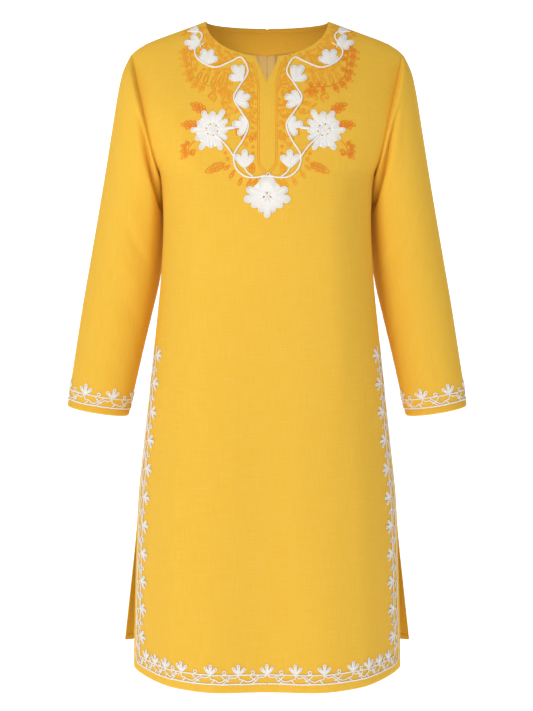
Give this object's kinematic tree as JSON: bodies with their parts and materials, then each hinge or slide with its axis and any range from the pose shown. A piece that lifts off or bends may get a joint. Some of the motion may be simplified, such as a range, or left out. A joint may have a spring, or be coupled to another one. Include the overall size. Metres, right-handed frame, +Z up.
{
  "type": "embroidered kurta tunic",
  "caption": "Knee-length kurta tunic standing hollow in its worn form, with long sleeves, a notched round neck, side slits and raised white cord flowers.",
  "frame": {"origin": "midway between the two side neck points, on the line of the shoulders, where the wearer holds it up", "axes": "-Y the way the wearer faces, +X to the wearer's left, +Z up"},
  "size_m": [0.612, 0.3266, 0.9851],
  "materials": {
    "cloth": "matte plain weave",
    "facing": "matte plain weave",
    "cord": "soft cotton cord"
  },
  "bodies": {
    "root": {"front": "cloth", "back_left": "cloth", "back_right": "cloth", "sleeve_left": "cloth", "sleeve_right": "cloth", "slit_turning_left": "cloth", "slit_turning_right": "cloth", "back_neck_facing": "facing", "vine_left": "cord", "vine_right": "cord", "rosette_left": "cord", "rosette_right": "cord", "pendant_flower": "cord", "vine_flower_left_1": "cord", "vine_flower_left_2": "cord", "vine_flower_left_3": "cord", "vine_flower_left_4": "cord", "vine_flower_left_5": "cord", "vine_flower_left_6": "cord", "vine_flower_right_1": "cord", "vine_flower_right_2": "cord", "vine_flower_right_3": "cord", "vine_flower_right_4": "cord", "vine_flower_right_5": "cord", "vine_flower_right_6": "cord"}
  },
  "joints": []
}
